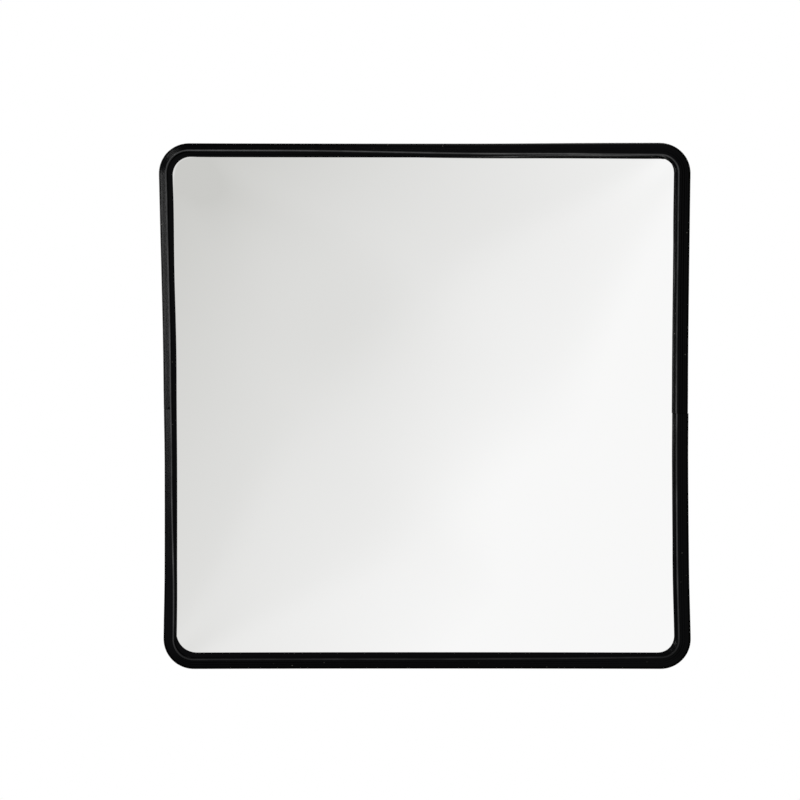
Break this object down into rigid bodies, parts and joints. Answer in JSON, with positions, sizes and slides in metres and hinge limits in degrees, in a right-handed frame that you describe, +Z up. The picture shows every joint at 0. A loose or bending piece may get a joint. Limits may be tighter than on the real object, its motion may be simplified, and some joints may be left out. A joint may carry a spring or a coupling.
{
  "type": "convex security mirror",
  "caption": "Square convex security mirror with black rubber edging, on a wall arm with a swing pivot and a ball joint.",
  "frame": {"origin": "on the wall, at the middle of the wall plate's back face", "axes": "+Z up, +Y into the wall, +X to the right for someone who looks into the mirror; the mirror faces -Y"},
  "size_m": [0.453, 0.2542, 0.45],
  "materials": {
    "bracket_paint": "satin black powder coat on steel",
    "arm_paint": "satin black powder coat on steel",
    "socket_paint": "satin black powder coat on zinc casting",
    "zinc": "bright zinc plate",
    "black_oxide": "black oxide on alloy steel",
    "ball_steel": "turned and polished steel",
    "nylon": "natural nylon",
    "stiffener_steel": "plain zinc-plated sheet",
    "hardboard": "tempered hardboard, smooth side out",
    "mirror_acrylic": "acrylic silvered on its back face",
    "trim_rubber": "satin black extruded rubber"
  },
  "bodies": {
    "wall_bracket": {"wall_plate": "bracket_paint", "wall_yoke": "bracket_paint", "pivot_bolt": "zinc", "pivot_washers": "zinc", "pivot_nut": "zinc"},
    "swing_arm": {"arm_knuckle": "arm_paint", "pivot_bushes": "nylon", "arm_tube": "arm_paint", "arm_end_plug": "arm_paint"},
    "ball_stem": {"ball_stud": "ball_steel", "stem_lock_nut": "zinc", "stem_spring_washer": "zinc"},
    "ball_seat": {"seat_ring": "nylon", "seat_cup": "nylon"},
    "mirror_head": {"clamp_cap": "socket_paint", "clamp_screws": "black_oxide", "clamp_washers": "zinc", "socket_base": "socket_paint", "panel_nuts": "zinc", "panel_washers": "zinc", "panel_bolts": "zinc", "stiffener_plate": "stiffener_steel", "back_panel": "hardboard", "mirror_lens": "mirror_acrylic", "edge_trim_upper": "trim_rubber", "edge_trim_lower": "trim_rubber"}
  },
  "joints": [
    {"name": "arm_swing", "type": "hinge", "parent": "wall_bracket", "child": "swing_arm", "pos_m": [0, -0.036, 0], "axis": [0, 0, 1], "range_deg": [-60, 60]},
    {"name": "stem_turn", "type": "hinge", "parent": "swing_arm", "child": "ball_stem", "pos_m": [0, -0.182, 0], "axis": [0, 1, 0], "continuous": true},
    {"name": "ball_pan", "type": "hinge", "parent": "ball_stem", "child": "ball_seat", "pos_m": [0, -0.182, 0], "axis": [0, 0, 1], "range_deg": [-25, 25]},
    {"name": "ball_tilt", "type": "hinge", "parent": "ball_seat", "child": "mirror_head", "pos_m": [0, -0.182, 0], "axis": [1, 0, 0], "range_deg": [-25, 25]}
  ]
}
